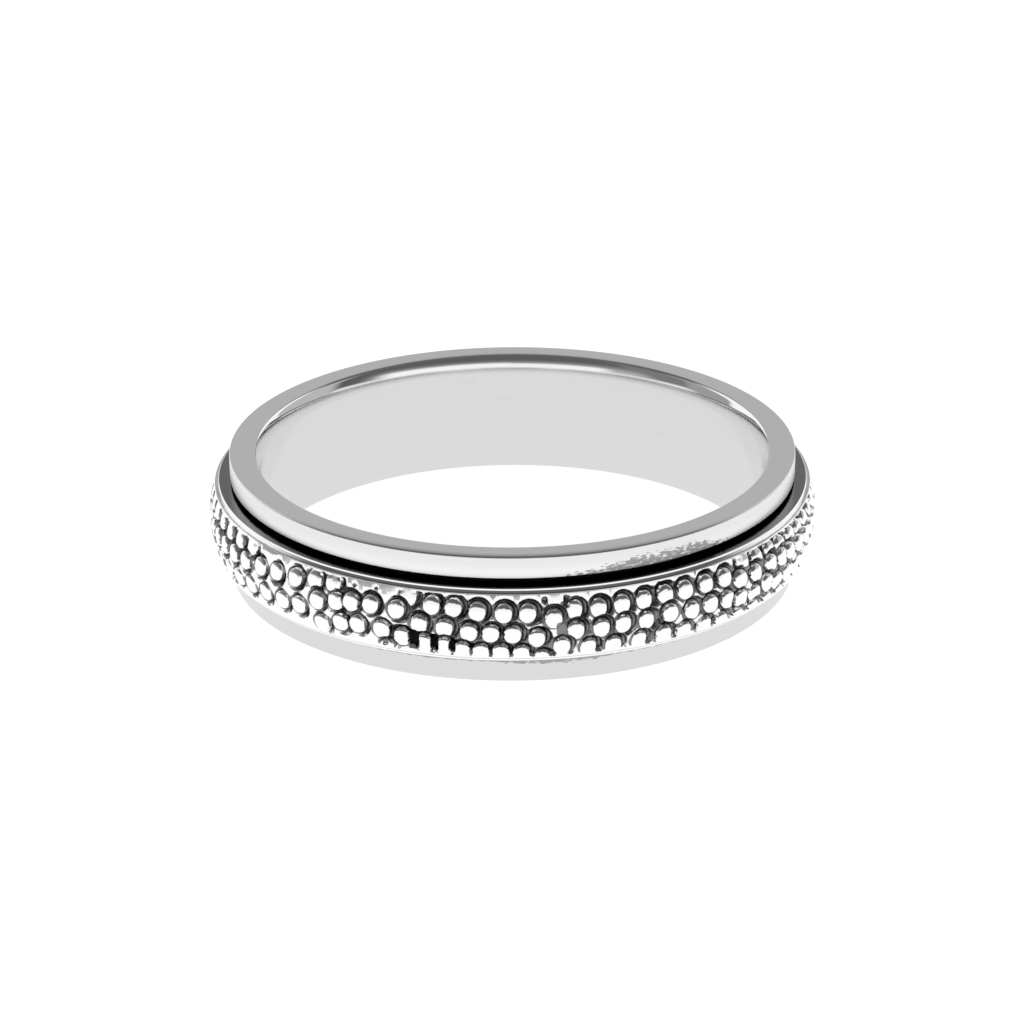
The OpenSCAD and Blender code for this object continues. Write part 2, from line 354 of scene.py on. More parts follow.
@dataclass
class StampedZone:
    """Field of stamped beads round the loose band, laid flat with its seam at the back."""

    crown_r: float  # Radius of the band's crown, which the length of the flat field follows
    width: float  # Width over which the stamps are spread
    edge: float = 1.15  # Half width at which the field joins the plain rims
    margin: float = 0.02  # Width along that edge on which nothing is struck
    fade: float = 0.07  # Width over which the grooves run out before that margin
    repeats: int = 2  # Number of times that the chart goes round
    lean_turn: float = 25.0  # Place in the chart past which the punch leans the other way
    left_heading: float = 125.0  # Its heading there in degrees
    heading_spread: float = 0.3  # Random difference of the heading between stamps, in radians
    strength_spread: float = 0.08  # Random difference of their depth, as a share
    tip_spread: float = 0.022  # Random difference of the beads' tilt
    punch: Punch = Punch()
    seed: int = 7  # Start of the random differences

    def __post_init__(self) -> None:
        """Lays out every stamp and dent round the band."""
        chance = np.random.default_rng(self.seed)
        chart, dents = np.array(STAMPS), np.array(DENTS)
        self.length = TAU * self.crown_r
        self.u, self.v = self.laid_out(chart)
        place = np.tile(chart[:, 0], self.repeats)
        at, heading, much = np.array(LEANS).T
        heading = np.where(place > self.lean_turn, self.left_heading, np.interp(place, at, heading))
        heading = np.radians(heading) + chance.normal(0, self.heading_spread, len(place))
        self.lean = np.stack([np.cos(heading), np.sin(heading)], 1) * np.interp(place, at, much)[:, None]
        self.strength = chance.normal(1, self.strength_spread, len(place))
        self.tip = chance.normal(0, self.tip_spread, (len(place), 2))
        self.struck = np.argsort(np.tile(np.arange(len(chart)), self.repeats), kind="stable")
        self.dents = np.column_stack([*self.laid_out(dents), np.tile(dents[:, 2:], (self.repeats, 1))])

    def laid_out(self, chart: Array) -> tuple[Array, Array]:
        """Places every copy of a chart on the flat field.

        Args:
            chart: Table whose first two columns are a place in degrees and a share of the width.

        Returns:
            Lengths along the field and heights above its middle.
        """
        turns = 360 / self.repeats * np.arange(self.repeats)
        u = np.radians(chart[:, 0] + turns[:, None]).ravel() * self.crown_r
        return self.wrapped(u), np.tile(chart[:, 1], self.repeats) * self.width

    def wrapped(self, u: Array) -> Array:
        """Returns lengths along the field brought to within half a turn of its middle."""
        return (u + self.length / 2) % self.length - self.length / 2

    def depth_at(self, u: Array, v: Array) -> tuple[Array, dict[str, Array]]:
        """Works out the stamped surface.

        Args:
            u: Lengths along the field.
            v: Heights above its middle.

        Returns:
            Depth below the crown, and how much of each point lies in a groove and in the black line of patina
            and painted shade at a bead's foot, from 0 to 1.
        """
        punch = self.punch
        depth, groove, soot, burr = (np.zeros(len(u)) for _ in range(4))
        for k in self.struck:
            du, dv = self.wrapped(u - self.u[k]), v - self.v[k]
            near = np.nonzero((abs(du) < STAMP_REACH) & (abs(dv) < STAMP_REACH))[0]
            du, dv = du[near], dv[near] * punch.upright
            away = (abs(du) ** punch.squareness + abs(dv) ** punch.squareness) ** (1 / punch.squareness)
            along = (du * self.lean[k, 0] + dv * self.lean[k, 1]) / np.maximum(away, TINY)
            shift = punch.lean_shift * self.lean[k]
            off = np.hypot((du - shift[0]) * punch.breadth, dv - shift[1])
            floor = np.maximum(punch.depth + punch.lean_depth * along, punch.least_depth) * self.strength[k]
            bead = punch.bead(away) * floor / punch.depth + self.tip[k, 0] * du + self.tip[k, 1] * dv
            rise = np.clip(punch.wall(away) * punch.foot_edge + 0.5, 0, 1)
            stain_r = punch.stain_r + punch.lean_stain * along
            clear = np.clip((off - punch.floor_r) / (stain_r - punch.floor_r), 0, 1)
            # Black line at the bead's foot: patina with painted shade over it, wider on the side to which the
            # punch leans
            patina_shade_w = np.maximum(punch.patina_shade_w + punch.lean_patina_shade * along, punch.least_patina_shade_w)
            black = np.clip(punch.patina_shade_edge * (1 - (away - punch.foot_r) / patina_shade_w), 0, 1)
            for layer, on_bead, around in (
                (depth, bead, np.maximum(depth[near], floor * punch.outer_wall(off))),
                (groove, rise, 1 - (1 - groove[near]) * clear),
                (soot, rise * punch.foot_patina_shade, np.maximum(soot[near], black * punch.foot_patina_shade)),
                (burr, 0, np.maximum(burr[near], punch.pushed_up(off))),
            ):
                layer[near] = np.where(away < punch.foot_r, on_bead, around)
        depth -= burr * (depth < punch.burr)
        self.dented(u, v, (depth, groove, soot))
        run_out = eased((self.edge - self.margin - abs(v)) / self.fade)
        return depth * run_out, {"groove": groove * run_out, "soot": soot * run_out}

    def dented(self, u: Array, v: Array, layers: tuple[Array, ...]) -> None:
        """Sinks the charted dents into the stamped surface.

        Args:
            u: Lengths along the field.
            v: Heights above its middle.
            layers: Depth, groove and soot of each point, which are changed.
        """
        for dent_u, dent_v, half_u, half_v, sunk in self.dents:
            du, dv = self.wrapped(u - dent_u) / half_u, (v - dent_v) / half_v
            away = abs(du) ** DENT_POWER + abs(dv) ** DENT_POWER
            near = away < DENT_CLEAR
            share = np.clip(DENT_END - away[near], 0, 1)
            # Deep dents turn black: patina with painted shade over it
            black = np.clip((sunk - DENT_PATINA_SHADE) / DENT_PATINA_SHADE_SPAN, 0, 1)
            for layer, most in zip(layers, (sunk, 1, black)):
                layer[near] = np.maximum(layer[near], share * most)

    def rings(self) -> list[tuple[float, int, bool]]:
        """Returns radius, number of points and whether its middle is the groove's, of each ring of points."""
        punch = self.punch
        bead = [(share * punch.bead_r, count, False) for share, count in BEAD_RINGS]
        foot = [(punch.foot_r + step, SLOPE_POINTS, False) for step in (0, FOOT_STEP)]
        slope = punch.lip_r - punch.floor_r
        return [*bead, *foot, *((punch.floor_r + share * slope, SLOPE_POINTS, True) for share in SLOPE_RINGS)]

    def spots(self, segments: int) -> Array:
        """Chooses the points of the field's mesh, in rings where the surface bends most.

        Args:
            segments: Number of points along each long edge.

        Returns:
            Places on the flat field, the two long edges first.
        """
        half = self.length / 2
        along = np.linspace(-half, half, segments + 1)
        across = np.linspace(self.edge, -self.edge, SEAM_POINTS)[1:-1]
        edges = [np.stack([along, np.full(len(along), side)], 1) for side in (self.edge, -self.edge)]
        edges += [np.stack([np.full(len(across), side), across], 1) for side in (-half, half)]
        grid_v = np.arange(-self.edge + GRID_MARGIN, self.edge, GRID_PITCH)
        grid = [(u, v) for u in np.arange(-half, half, GRID_PITCH) for v in grid_v]
        inner = np.concatenate([*map(self.round_stamp, range(len(self.struck))), self.round_dents(), grid])
        inside = (abs(inner[:, 1]) < self.edge - self.margin) & (abs(inner[:, 0]) < half - SEAM_MARGIN)
        inner = inner[inside]
        _, first = np.unique(np.floor(inner / LEAST_PITCH), axis=0, return_index=True)
        return np.concatenate([*edges, inner[np.sort(first)]])

    def round_stamp(self, rank: int) -> Array:
        """Rings one stamp with points, less those that later stamps take over.

        Args:
            rank: Place of the stamp in the order of striking.

        Returns:
            Places on the flat field.
        """
        punch, k, later = self.punch, self.struck[rank], self.struck[rank + 1:]
        found = []
        for radius, count, on_groove in self.rings():
            angle = TAU * (np.arange(count) + 0.5 * (rank % 2)) / count
            middle = punch.lean_shift * self.lean[k] * on_groove
            breadth = punch.breadth if on_groove else 1.0
            u = self.wrapped(self.u[k] + middle[0] + radius * np.cos(angle) / breadth)
            v = self.v[k] + (middle[1] + radius * np.sin(angle)) / punch.upright
            du, dv = self.wrapped(u[:, None] - self.u[later]), (v[:, None] - self.v[later]) * punch.upright
            kept = (np.hypot(du, dv) > punch.foot_r + FOOT_CLEAR).all(axis=1)
            found.append(np.stack([u[kept], v[kept]], 1))
        return np.concatenate(found)

    def round_dents(self) -> Array:
        """Returns rings of points round every dent."""
        angle = TAU * np.arange(DENT_POINTS) / DENT_POINTS
        ring = np.stack([np.cos(angle), np.sin(angle)], 1)
        ring /= (ring**DENT_POWER).sum(axis=1, keepdims=True) ** (1 / DENT_POWER)
        rings = [dent[:2] + share * dent[2:4] * ring for dent in self.dents for share in DENT_RINGS]
        return np.concatenate(rings)


@dataclass
class LooseBand:
    """Domed band that turns in the channel, with plain rims beside its stamped zone."""

    crown_r: float  # Radius over the crown
    half: float  # Half the band's width
    middle: float  # Height of its middle
    bore_r: float = 9.66  # Radius of the bore that runs on the channel's floor
    crown_drop: float = 0.18  # How far the crown falls from its middle to the rims
    bore_round: float = 0.05  # Rounding of the bore's edges
    plain_rim: float = 0.25  # Width of each plain rim beside the stamped zone
    black_turn: float = 15.0  # Degrees of the rim's first corner that are blackened
    edge_turn: float = 80.0  # Degrees from a side's facing to that of the low edge at which the rim starts
    edge_round: float = 0.03  # Rounding of that edge's corners
    shelf_turn: float = 25.0  # Degrees from a side's facing to that of the narrow shelf behind the edge
    shelf_w: float = 0.1  # Width of the shelf
    crown_half: float = 1.175  # Half the width that the crown spans between the shelves
    shelf_soot: float = 0.55  # How far the shelf is blackened
    side_soot: float = 1.0  # How far the sides are blackened
    segments: int = 600  # Steps round the axis

    def __post_init__(self) -> None:
        """Works out the crown's arc from its drop, and lays out the stamped zone."""
        corner = self.half - self.plain_rim
        self.arc_r = (corner**2 + self.crown_drop**2) / (2 * self.crown_drop)
        self.zone = StampedZone(self.crown_r, width=2 * corner)

    def crown_at(self, v: Array) -> tuple[Array, Array]:
        """Returns radius and facing in radians of the plain crown at heights above the band's middle."""
        return self.crown_r - self.arc_r + np.sqrt(self.arc_r**2 - v * v), np.arcsin(v / self.arc_r)

    def outline(self) -> Array:
        """Returns the section from the zone's upper edge round the bore to its lower edge."""
        lean = math.radians(self.edge_turn)
        trial = Outline(0.0, 0.0, 270.0)
        self.rim(trial, 0.0)
        edge = (self.half - self.zone.edge - trial.height) / math.sin(lean)
        side = self.crown_at(self.zone.edge)[0] - trial.radius - edge * math.cos(lean) - self.bore_r
        pen = Outline(self.bore_r, self.middle, 180.0, black=self.side_soot)
        pen.go(self.half - self.bore_round)
        pen.turn(90, self.bore_round, parts=5)
        pen.go(side - self.bore_round)
        self.rim(pen, edge)
        return np.concatenate([pen.mirrored(self.middle)[:-1], pen.table()])

    def rim(self, pen: Outline, edge: float) -> None:
        """Draws the rim's low edge and its shelf, from the side to the stamped zone.

        Args:
            pen: Pen that stands at the side's end.
            edge: Height of the edge's straight part.
        """
        crown_tilt, zone_tilt = (math.degrees(self.crown_at(v)[1]) for v in (self.crown_half, self.zone.edge))
        pen.turn(self.black_turn, self.edge_round, parts=1)
        pen.black = 0.0
        pen.turn(self.edge_turn - self.black_turn, self.edge_round, parts=4)
        pen.go(edge)
        pen.turn(self.shelf_turn - self.edge_turn, self.edge_round / 2, parts=3)
        pen.black = self.shelf_soot
        pen.go(self.shelf_w)
        pen.turn(90 - crown_tilt - self.shelf_turn, 2 * self.edge_round, parts=4)
        pen.black = 0.0
        pen.turn(crown_tilt - zone_tilt, self.arc_r, parts=2)

    def build(self) -> bpy.types.Object:
        """Makes the band in place of its plain solid and returns it."""
        plain = turned(self.outline(), self.segments, closed=False)
        piece = self.joined(plain, self.zone.spots(self.segments)).to_object("loose_band")
        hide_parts("spinner_band")
        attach(piece, "spinner")
        return piece

    def filled(self, spots: Array, fixed: int) -> tuple[Array, Array]:
        """Fills the flat field with triangles that join the turned part and meet at the seam.

        Args:
            spots: Places of the zone's points on its flat field, the two long edges first.
            fixed: Number of the turned part's points, from the zone's upper edge round to its lower edge.

        Returns:
            The point number of each spot, and those of each triangle's corners.
        """
        row, half = self.segments + 1, self.zone.length / 2
        number = np.arange(len(spots)) + fixed - 2 * row
        number[:row] = np.arange(row) % self.segments
        number[row:2 * row] = number[:row] + fixed - self.segments
        left, right = (np.nonzero(abs(spots[:, 0] - side) < TINY)[0][2:] for side in (-half, half))
        number[right] = number[left]
        ring = np.concatenate([np.arange(row), right, np.arange(row, 2 * row)[::-1], left[::-1]])
        edges = np.stack([ring, np.roll(ring, -1)], 1).tolist()
        done = geometry.delaunay_2d_cdt([Vector(spot) for spot in spots], edges, [], 1, TINY, True)
        source = np.array([ids[0] for ids in done[3]])
        found = number[source[np.array(done[2])]]
        return number, found[(found != np.roll(found, 1, axis=1)).all(axis=1)]

    def joined(self, plain: Skin, spots: Array) -> Skin:
        """Closes the turned part with the stamped zone.

        Args:
            plain: The turned part, from the zone's upper edge round to its lower edge.
            spots: Places of the zone's points on its flat field, the two long edges first.

        Returns:
            The whole skin, without the points that no face uses.
        """
        fixed = len(plain.points)
        number, triangles = self.filled(spots, fixed)
        turn = spots[:, 0] / self.crown_r - math.pi / 2
        depth, found = self.zone.depth_at(spots[:, 0], spots[:, 1])
        radius, facing = self.crown_at(spots[:, 1])
        radius = radius - depth * np.cos(facing)
        height = self.middle + spots[:, 1] - depth * np.sin(facing)
        total = number.max() + 1
        points, normals = np.zeros((total, 3)), np.zeros((total, 3))
        points[number] = np.stack([radius * np.cos(turn), radius * np.sin(turn), height], 1)
        points[:fixed] = plain.points
        first, second, third = (points[triangles[:, corner]] for corner in range(3))
        for corner in range(3):
            np.add.at(normals, triangles[:, corner], np.cross(second - first, third - first))
        normals[:fixed] = plain.normals
        normals /= np.maximum(np.linalg.norm(normals, axis=1, keepdims=True), TINY)
        marks = {name: np.zeros(total) for name in ("black", *found)}
        for name, values in found.items():
            marks[name][number] = values
        marks["black"][:fixed] = plain.marks["black"]
        used = np.zeros(total, bool)
        used[:fixed] = True
        used[triangles] = True
        faces = plain.faces + (np.cumsum(used) - 1)[triangles].tolist()
        marks = {name: values[used] for name, values in marks.items()}
        return Skin(points[used], normals[used], faces, marks)

    def dress(self, piece: bpy.types.Object) -> None:
        """Gives the band's object its finish."""
        piece.data.materials.append(StampedSilver().material())


class Nodes:
    """Short ways to add shader nodes to a tree."""

    def __init__(self, tree: bpy.types.NodeTree) -> None:
        """Starts on the tree that the nodes go into."""
        self.tree = tree

    def add(self, kind: str, inputs: dict | None = None, **settings: object) -> bpy.types.Node:
        """Adds a node.

        Args:
            kind: Name of the node's type.
            inputs: Value of each named or numbered input, or the output socket that feeds it.
            settings: Values of the node's own settings.

        Returns:
            The node.
        """
        node = self.tree.nodes.new(kind)
        for name, value in settings.items():
            setattr(node, name, value)
        for name, value in (inputs or {}).items():
            self.feed(node.inputs[name], value)
        return node

    def feed(self, target: Socket, value: object) -> None:
        """Gives an input its value.

        Args:
            target: The input.
            value: Its value, or the output socket that feeds it.
        """
        if isinstance(value, Socket):
            self.tree.links.new(value, target)
        else:
            target.default_value = value

    def mark(self, name: str) -> Socket:
        """Adds one of the numbers that the mesh carries and returns it."""
        return self.add("ShaderNodeAttribute", attribute_name=name).outputs["Fac"]

    def group(self, tree: bpy.types.NodeTree, **inputs: Feed) -> bpy.types.NodeOutputs:
        """Adds a node group with its named inputs and returns its outputs."""
        return self.add("ShaderNodeGroup", inputs, node_tree=tree).outputs

    def place(self) -> Socket:
        """Adds the place on the object and returns it."""
        return self.add("ShaderNodeTexCoord").outputs["Object"]

    def parts(self, vector: Socket) -> bpy.types.NodeOutputs:
        """Adds a split of a vector and returns its three parts."""
        return self.add("ShaderNodeSeparateXYZ", {0: vector}).outputs

    def vector(self, x: Feed, y: Feed, z: Feed = 0.0) -> Socket:
        """Adds a vector of three parts and returns it."""
        return self.add("ShaderNodeCombineXYZ", {0: x, 1: y, 2: z}).outputs[0]

    def length(self, vector: Socket) -> Socket:
        """Adds the length of a vector and returns it."""
        return self.add("ShaderNodeVectorMath", {0: vector}, operation="LENGTH").outputs["Value"]

    def math(self, operation: str, first: Feed, second: Feed = 0.0) -> Socket:
        """Adds a named sum of two numbers and returns its result."""
        return self.add("ShaderNodeMath", {0: first, 1: second}, operation=operation).outputs[0]

    def most(self, *values: Feed) -> Socket:
        """Adds the largest of several numbers and returns it."""
        return reduce(partial(self.math, "MAXIMUM"), values)

    def product(self, *values: Feed) -> Socket:
        """Adds the product of several numbers and returns it."""
        return reduce(partial(self.math, "MULTIPLY"), values)

    def bearing(self, x: Feed, y: Feed) -> Socket:
        """Adds the degrees by which a direction lies to the side of straight on, and returns them."""
        return self.product(self.math("ARCTAN2", x, y), 360 / TAU)

    def step(self, value: Feed, low: Feed, high: Feed, first: Feed = 0.0, last: Feed = 1.0) -> Socket:
        """Adds a soft step from a first to a last result between two values, and returns its result."""
        inputs = {"Value": value, "From Min": low, "From Max": high, "To Min": first, "To Max": last}
        return self.add("ShaderNodeMapRange", inputs, interpolation_type="SMOOTHSTEP").outputs["Result"]

    def noise(self, place: Socket, scale: Feed, detail: float, swirl: float = 0.0) -> Socket:
        """Adds a noise of a fineness, a number of finer ones over it and a swirl, and returns its value."""
        inputs = {"Vector": place, "Scale": scale, "Detail": detail, "Distortion": swirl}
        return self.add("ShaderNodeTexNoise", inputs).outputs["Fac"]

    def mix(self, share: Feed, *colours: Feed) -> Socket:
        """Adds a mix of two colours, each a brightness or a socket, by the second's share, and returns it."""
        both = [colour if isinstance(colour, Socket) else (colour, colour, colour, 1.0) for colour in colours]
        return self.add("ShaderNodeMix", {0: share, 6: both[0], 7: both[1]}, data_type="RGBA").outputs[2]


def effect(name: str, inputs: dict[str, float], outputs: list[str]) -> tuple[Nodes, bpy.types.NodeOutputs]:
    """Starts a node group whose inputs and outputs are plain numbers.

    Args:
        name: Name of the effect.
        inputs: Name and default of each input.
        outputs: Name of each output.

    Returns:
        A helper that adds nodes to the group, and its inputs as they come in.
    """
    nodes = Nodes(bpy.data.node_groups.new(name, "ShaderNodeTree"))
    new_socket = partial(nodes.tree.interface.new_socket, socket_type="NodeSocketFloat")
    for title, value in inputs.items():
        new_socket(title, in_out="INPUT").default_value = value
    for title in outputs:
        new_socket(title, in_out="OUTPUT")
    return nodes, nodes.add("NodeGroupInput").outputs


@cache
def fine_scratches() -> bpy.types.NodeTree:
    """Returns the group that lays patches of fine scratches round a band, built on its first use."""
    nodes, given = effect("fine_scratches", {"Fineness": 9000.0, "Share": 0.5}, ["Mask"])
    along = 2.6  # Fineness along the scratches, per radian
    place = nodes.place()
    x, y, z = nodes.parts(place)
    turn = nodes.product(nodes.math("ARCTAN2", y, x), along)
    reach = nodes.product(nodes.length(place), given["Fineness"])
    lines = nodes.vector(turn, nodes.product(z, given["Fineness"]), reach)
    low = nodes.math("SUBTRACT", 0.75, nodes.product(given["Share"], 0.3))
    patches = nodes.step(nodes.noise(place, scale=420.0, detail=2.0), low, high=nodes.math("ADD", low, 0.15))
    streaks = nodes.step(nodes.noise(lines, scale=1.0, detail=3.0), low=0.52, high=0.68)
    nodes.add("NodeGroupOutput", {"Mask": nodes.product(patches, streaks)})
    return nodes.tree


@cache
def smudges() -> bpy.types.NodeTree:
    """Returns the group that spreads faint smudges over a polished face, built on its first use."""
    nodes, given = effect("smudges", {"Scale": 300.0, "Share": 0.5}, ["Mask", "Swell"])
    place = nodes.place()
    low = nodes.math("SUBTRACT", 0.8, nodes.product(given["Share"], 0.4))
    film = nodes.noise(place, given["Scale"], detail=4.0, swirl=0.6)
    mask = nodes.step(film, low, high=nodes.math("ADD", low, 0.3))
    swell = nodes.noise(place, nodes.product(given["Scale"], 0.7), detail=1.0)
    nodes.add("NodeGroupOutput", {"Mask": mask, "Swell": swell})
    return nodes.tree


@cache
def tarnish() -> bpy.types.NodeTree:
    """Returns the group that breaks up the edge of blackened metal and of painted shade, built on its first
    use.
    """
    inputs = {"Amount": 0.0, "Start": 0.3, "End": 0.75, "Raggedness": 0.5}
    nodes, given = effect("tarnish", inputs, ["Mask", "Grain"])
    grain = nodes.noise(nodes.place(), scale=2600.0, detail=3.0)
    unsteady = nodes.product(nodes.math("SUBTRACT", grain, 0.5), given["Raggedness"])
    mask = nodes.step(nodes.math("ADD", given["Amount"], unsteady), given["Start"], given["End"])
    nodes.add("NodeGroupOutput", {"Mask": mask, "Grain": grain})
    return nodes.tree


@dataclass(frozen=True)
class Silver:
    """Sterling silver, polished and lightly worn, on which the two bands' finishes are based."""

    name: str = "silver"  # Name of the material
    bright: float = 0.92  # Share of light that clean metal gives back
    dull: float = 0.82  # Share that smudged metal gives back
    gloss: float = 0.05  # Roughness of clean metal
    worn: float = 0.18  # Roughness in scratches and smudges
    scratch_depth: float = 0.0000010  # Depth of the fine scratches, in metres
    swell_depth: float = 0.0000015  # Height of the hand-polished swell of the surface, in metres
    grain_depth: float = 0.000006  # Height of the grain of blackened metal, in metres
    smudge_share: float = 0.45  # How strongly smudges dull the metal

    def started(self) -> tuple[bpy.types.Material, Nodes]:
        """Starts the material and returns it with a helper that adds nodes to it."""
        made = bpy.data.materials.new(self.name)
        made.use_nodes = True
        made.node_tree.nodes["Principled BSDF"].inputs["Metallic"].default_value = 1.0
        return made, Nodes(made.node_tree)

    def finished(self, nodes: Nodes, black: Feed, dark: Feed, grain: Feed,
                 matt: Feed, satin: Feed = 0.0, shade: Feed = 1.0) -> None:
        """Joins polished and blackened metal at the shader.

        Args:
            nodes: Helper of the material.
            black: How far the metal is blackened, painted shade included, from 0 to 1.
            dark: Colour of the blackened metal and of the painted shade.
            grain: Grain of the blackened metal.
            matt: Roughness of the blackened metal.
            satin: Least roughness.
            shade: Brightness of clean metal as a share of its full brightness.
        """
        scratches = nodes.group(fine_scratches())["Mask"]
        film = nodes.group(smudges())
        spoiled = nodes.most(nodes.product(film["Mask"], self.smudge_share), scratches)
        clean = nodes.product(nodes.step(spoiled, 0.0, 1.0, self.bright, self.dull), shade)
        worn = nodes.step(spoiled, 0.0, 1.0, self.gloss, self.worn)
        swell = nodes.product(film["Swell"], self.swell_depth)
        height = nodes.math("SUBTRACT", swell, nodes.product(scratches, self.scratch_depth))
        height = nodes.math("ADD", height, nodes.product(grain, black, self.grain_depth))
        bump = nodes.add("ShaderNodeBump", {"Strength": 1.0, "Distance": 1.0, "Height": height})
        shader = nodes.tree.nodes["Principled BSDF"].inputs
        nodes.feed(shader["Base Color"], nodes.mix(black, clean, dark))
        nodes.feed(shader["Roughness"], nodes.most(worn, nodes.product(black, matt), satin))
        nodes.feed(shader["Normal"], bump.outputs[0])


@dataclass(frozen=True)
class PolishedSilver(Silver):
    """Finish of the fixed band: polished, with satin outer faces, a blackened channel, tarnish, and painted
    shade on the outer faces beside the loose band.
    """

    name: str = "polished_silver"
    channel: float = 0.05  # Share of light that the blackened channel gives back
    channel_uneven: float = 0.4  # How far its darkest and lightest grains differ from that, as a share
    matt: float = 0.4  # Roughness there
    wall_r: float = 9.08  # Radius in millimetres up to which the hole's wall and its lip reach
    wall_fade: float = 0.06  # Width over which the wall's satin runs out
    wall_satin: float = 0.15  # Roughness of the wall
    rim_r: float = 10.13  # Radius from which the outer faces are satin
    rim_fade: float = 0.02  # Width over which that satin sets in
    rim_satin: float = 0.32  # Roughness of the outer faces
    low_shade: float = 0.74  # Brightness of the lower outer face as a share of the full one
    low_fade: tuple[float, float] = (1.0, 3.0)  # Heights in millimetres between which that shade runs out
    high_shade: float = 0.86  # Brightness of the upper half of the upper outer face
    high_fade: tuple[float, float] = (3.9, 4.4)  # Heights between which that half's shade sets in
    low_gap_shade_top: float = 0.81  # Height of the lower outer face's upper edge, under the loose band, along which shade is painted
    low_gap_shade_w: float = 0.09  # Width of that painted shade
    low_gap_shade_most: float = 0.22  # Width of the painted shade where it is widest, a little right of the front
    low_gap_shade_over: tuple[float, float] = (0.1, 0.2)  # Heights above the edge between which the painted shade is cut off
    low_gap_shade_rise: tuple[float, float] = (-14.0, 8.0)  # Bearings right of the front between which it widens
    low_gap_shade_fall: tuple[float, float] = (14.0, 22.0)  # Bearings between which it narrows
    low_gap_shade_deep: float = 1.5  # Amount of painted shade at the edge, where 1 covers wholly
    tarnish_and_gap_shade: float = 0.36  # Share of light given back by the tarnished patch on the upper outer face, darkened as painted shade along the gap below it, and by the painted shade under the loose band
    patch_rise: tuple[float, float] = (5.0, 29.0)  # Bearings between which the patch gets higher
    patch_fall: tuple[float, float] = (35.0, 50.0)  # Bearings between which it gets lower
    patch_foot: float = 3.83  # Height at which its lower border lies
    foot_fade: float = 0.01  # Height over which that border fades
    patch_top: float = 4.22  # Height of its upper border at its middle
    top_fade: float = 0.2  # Height over which that border fades, to either side
    streak_scale: float = 5200.0  # Fineness of the streaks that break up the patch and the painted shade
    streak_squash: float = 2.5  # How much finer they are in height
    streak_strength: float = 2.4  # How strongly they do so

    def material(self) -> bpy.types.Material:
        """Makes the material and returns it."""
        made, nodes = self.started()
        x, y, z = nodes.parts(nodes.place())
        radius = nodes.length(nodes.vector(x, y))
        wall = nodes.step(radius, self.wall_r * MM, (self.wall_r + self.wall_fade) * MM, self.wall_satin, 0.0)
        outside = nodes.step(radius, (self.rim_r - self.rim_fade) * MM, self.rim_r * MM)
        satin = nodes.most(wall, nodes.product(outside, self.rim_satin))
        black = nodes.group(tarnish(), Amount=nodes.mark("black"))
        # Tarnish and painted shade beside the loose band, in one grey
        tarnish_and_gap_shade = self.stained_and_shaded(nodes, x, y, z, outside)
        high = nodes.step(z, *np.multiply(self.high_fade, MM), 1.0, self.high_shade)
        low = nodes.step(z, *np.multiply(self.low_fade, MM), self.low_shade, 1.0)
        shade = nodes.step(outside, 0.0, 1.0, 1.0, nodes.product(high, low))
        darkest, lightest = ((1 + side * self.channel_uneven) * self.channel for side in (-1, 1))
        dark = nodes.mix(black["Mask"], self.tarnish_and_gap_shade, nodes.mix(black["Grain"], darkest, lightest))
        self.finished(nodes, nodes.most(black["Mask"], tarnish_and_gap_shade), dark, black["Grain"], self.matt, satin, shade)
        return made

    def stained_and_shaded(self, nodes: Nodes, x: Socket, y: Socket, z: Socket, outside: Socket) -> Socket:
        """Adds how far the tarnished patch, which also paints shade, and the painted shade under the loose
        band cover each place.

        Args:
            nodes: Helper of the material.
            x: Place to the right.
            y: Place to the back.
            z: Height.
            outside: Whether the place is on an outer face.

        Returns:
            The cover's share.
        """
        bearing = nodes.bearing(x, nodes.product(y, -1.0))
        bounds = ((self.patch_rise, self.patch_fall), (self.low_gap_shade_rise, self.low_gap_shade_fall))
        within, wide = (nodes.product(nodes.step(bearing, *rise), nodes.step(bearing, *fall, 1.0, 0.0))
                        for rise, fall in bounds)
        # Tarnished patch on the upper outer face, whose grey also paints the shade along the gap below it
        top = nodes.step(within, 0.0, 1.0, self.patch_foot * MM, self.patch_top * MM)
        below = nodes.step(nodes.math("SUBTRACT", top, z), -self.top_fade * MM, self.top_fade * MM)
        above = nodes.step(z, (self.patch_foot - self.foot_fade) * MM, self.patch_foot * MM)
        tarnish_and_gap_shade = nodes.product(below, above, nodes.step(within, low=0.0, high=0.15))
        # Painted shade under the loose band, along the top of the lower outer face
        steep, gentle = (self.low_gap_shade_deep / (width * MM) for width in (self.low_gap_shade_w, self.low_gap_shade_most))
        under = nodes.math("SUBTRACT", self.low_gap_shade_top * MM, z)
        fall = nodes.product(under, nodes.step(wide, 0.0, 1.0, steep, gentle))
        low_gap_shade = nodes.most(nodes.math("SUBTRACT", self.low_gap_shade_deep, fall), 0.0)
        low_face = nodes.step(z, *((self.low_gap_shade_top + over) * MM for over in self.low_gap_shade_over), 1.0, 0.0)
        spread = nodes.product(nodes.most(tarnish_and_gap_shade, nodes.product(low_gap_shade, low_face)), outside)
        streaks = nodes.vector(x, y, nodes.product(z, self.streak_squash))
        noise = nodes.math("SUBTRACT", nodes.noise(streaks, self.streak_scale, detail=3.0), 0.5)
        uneven = nodes.product(noise, self.streak_strength)
        left = nodes.step(nodes.math("ADD", nodes.product(spread, 0.8), uneven), low=0.3, high=0.75)
        return nodes.product(left, nodes.step(spread, low=0.01, high=0.25))


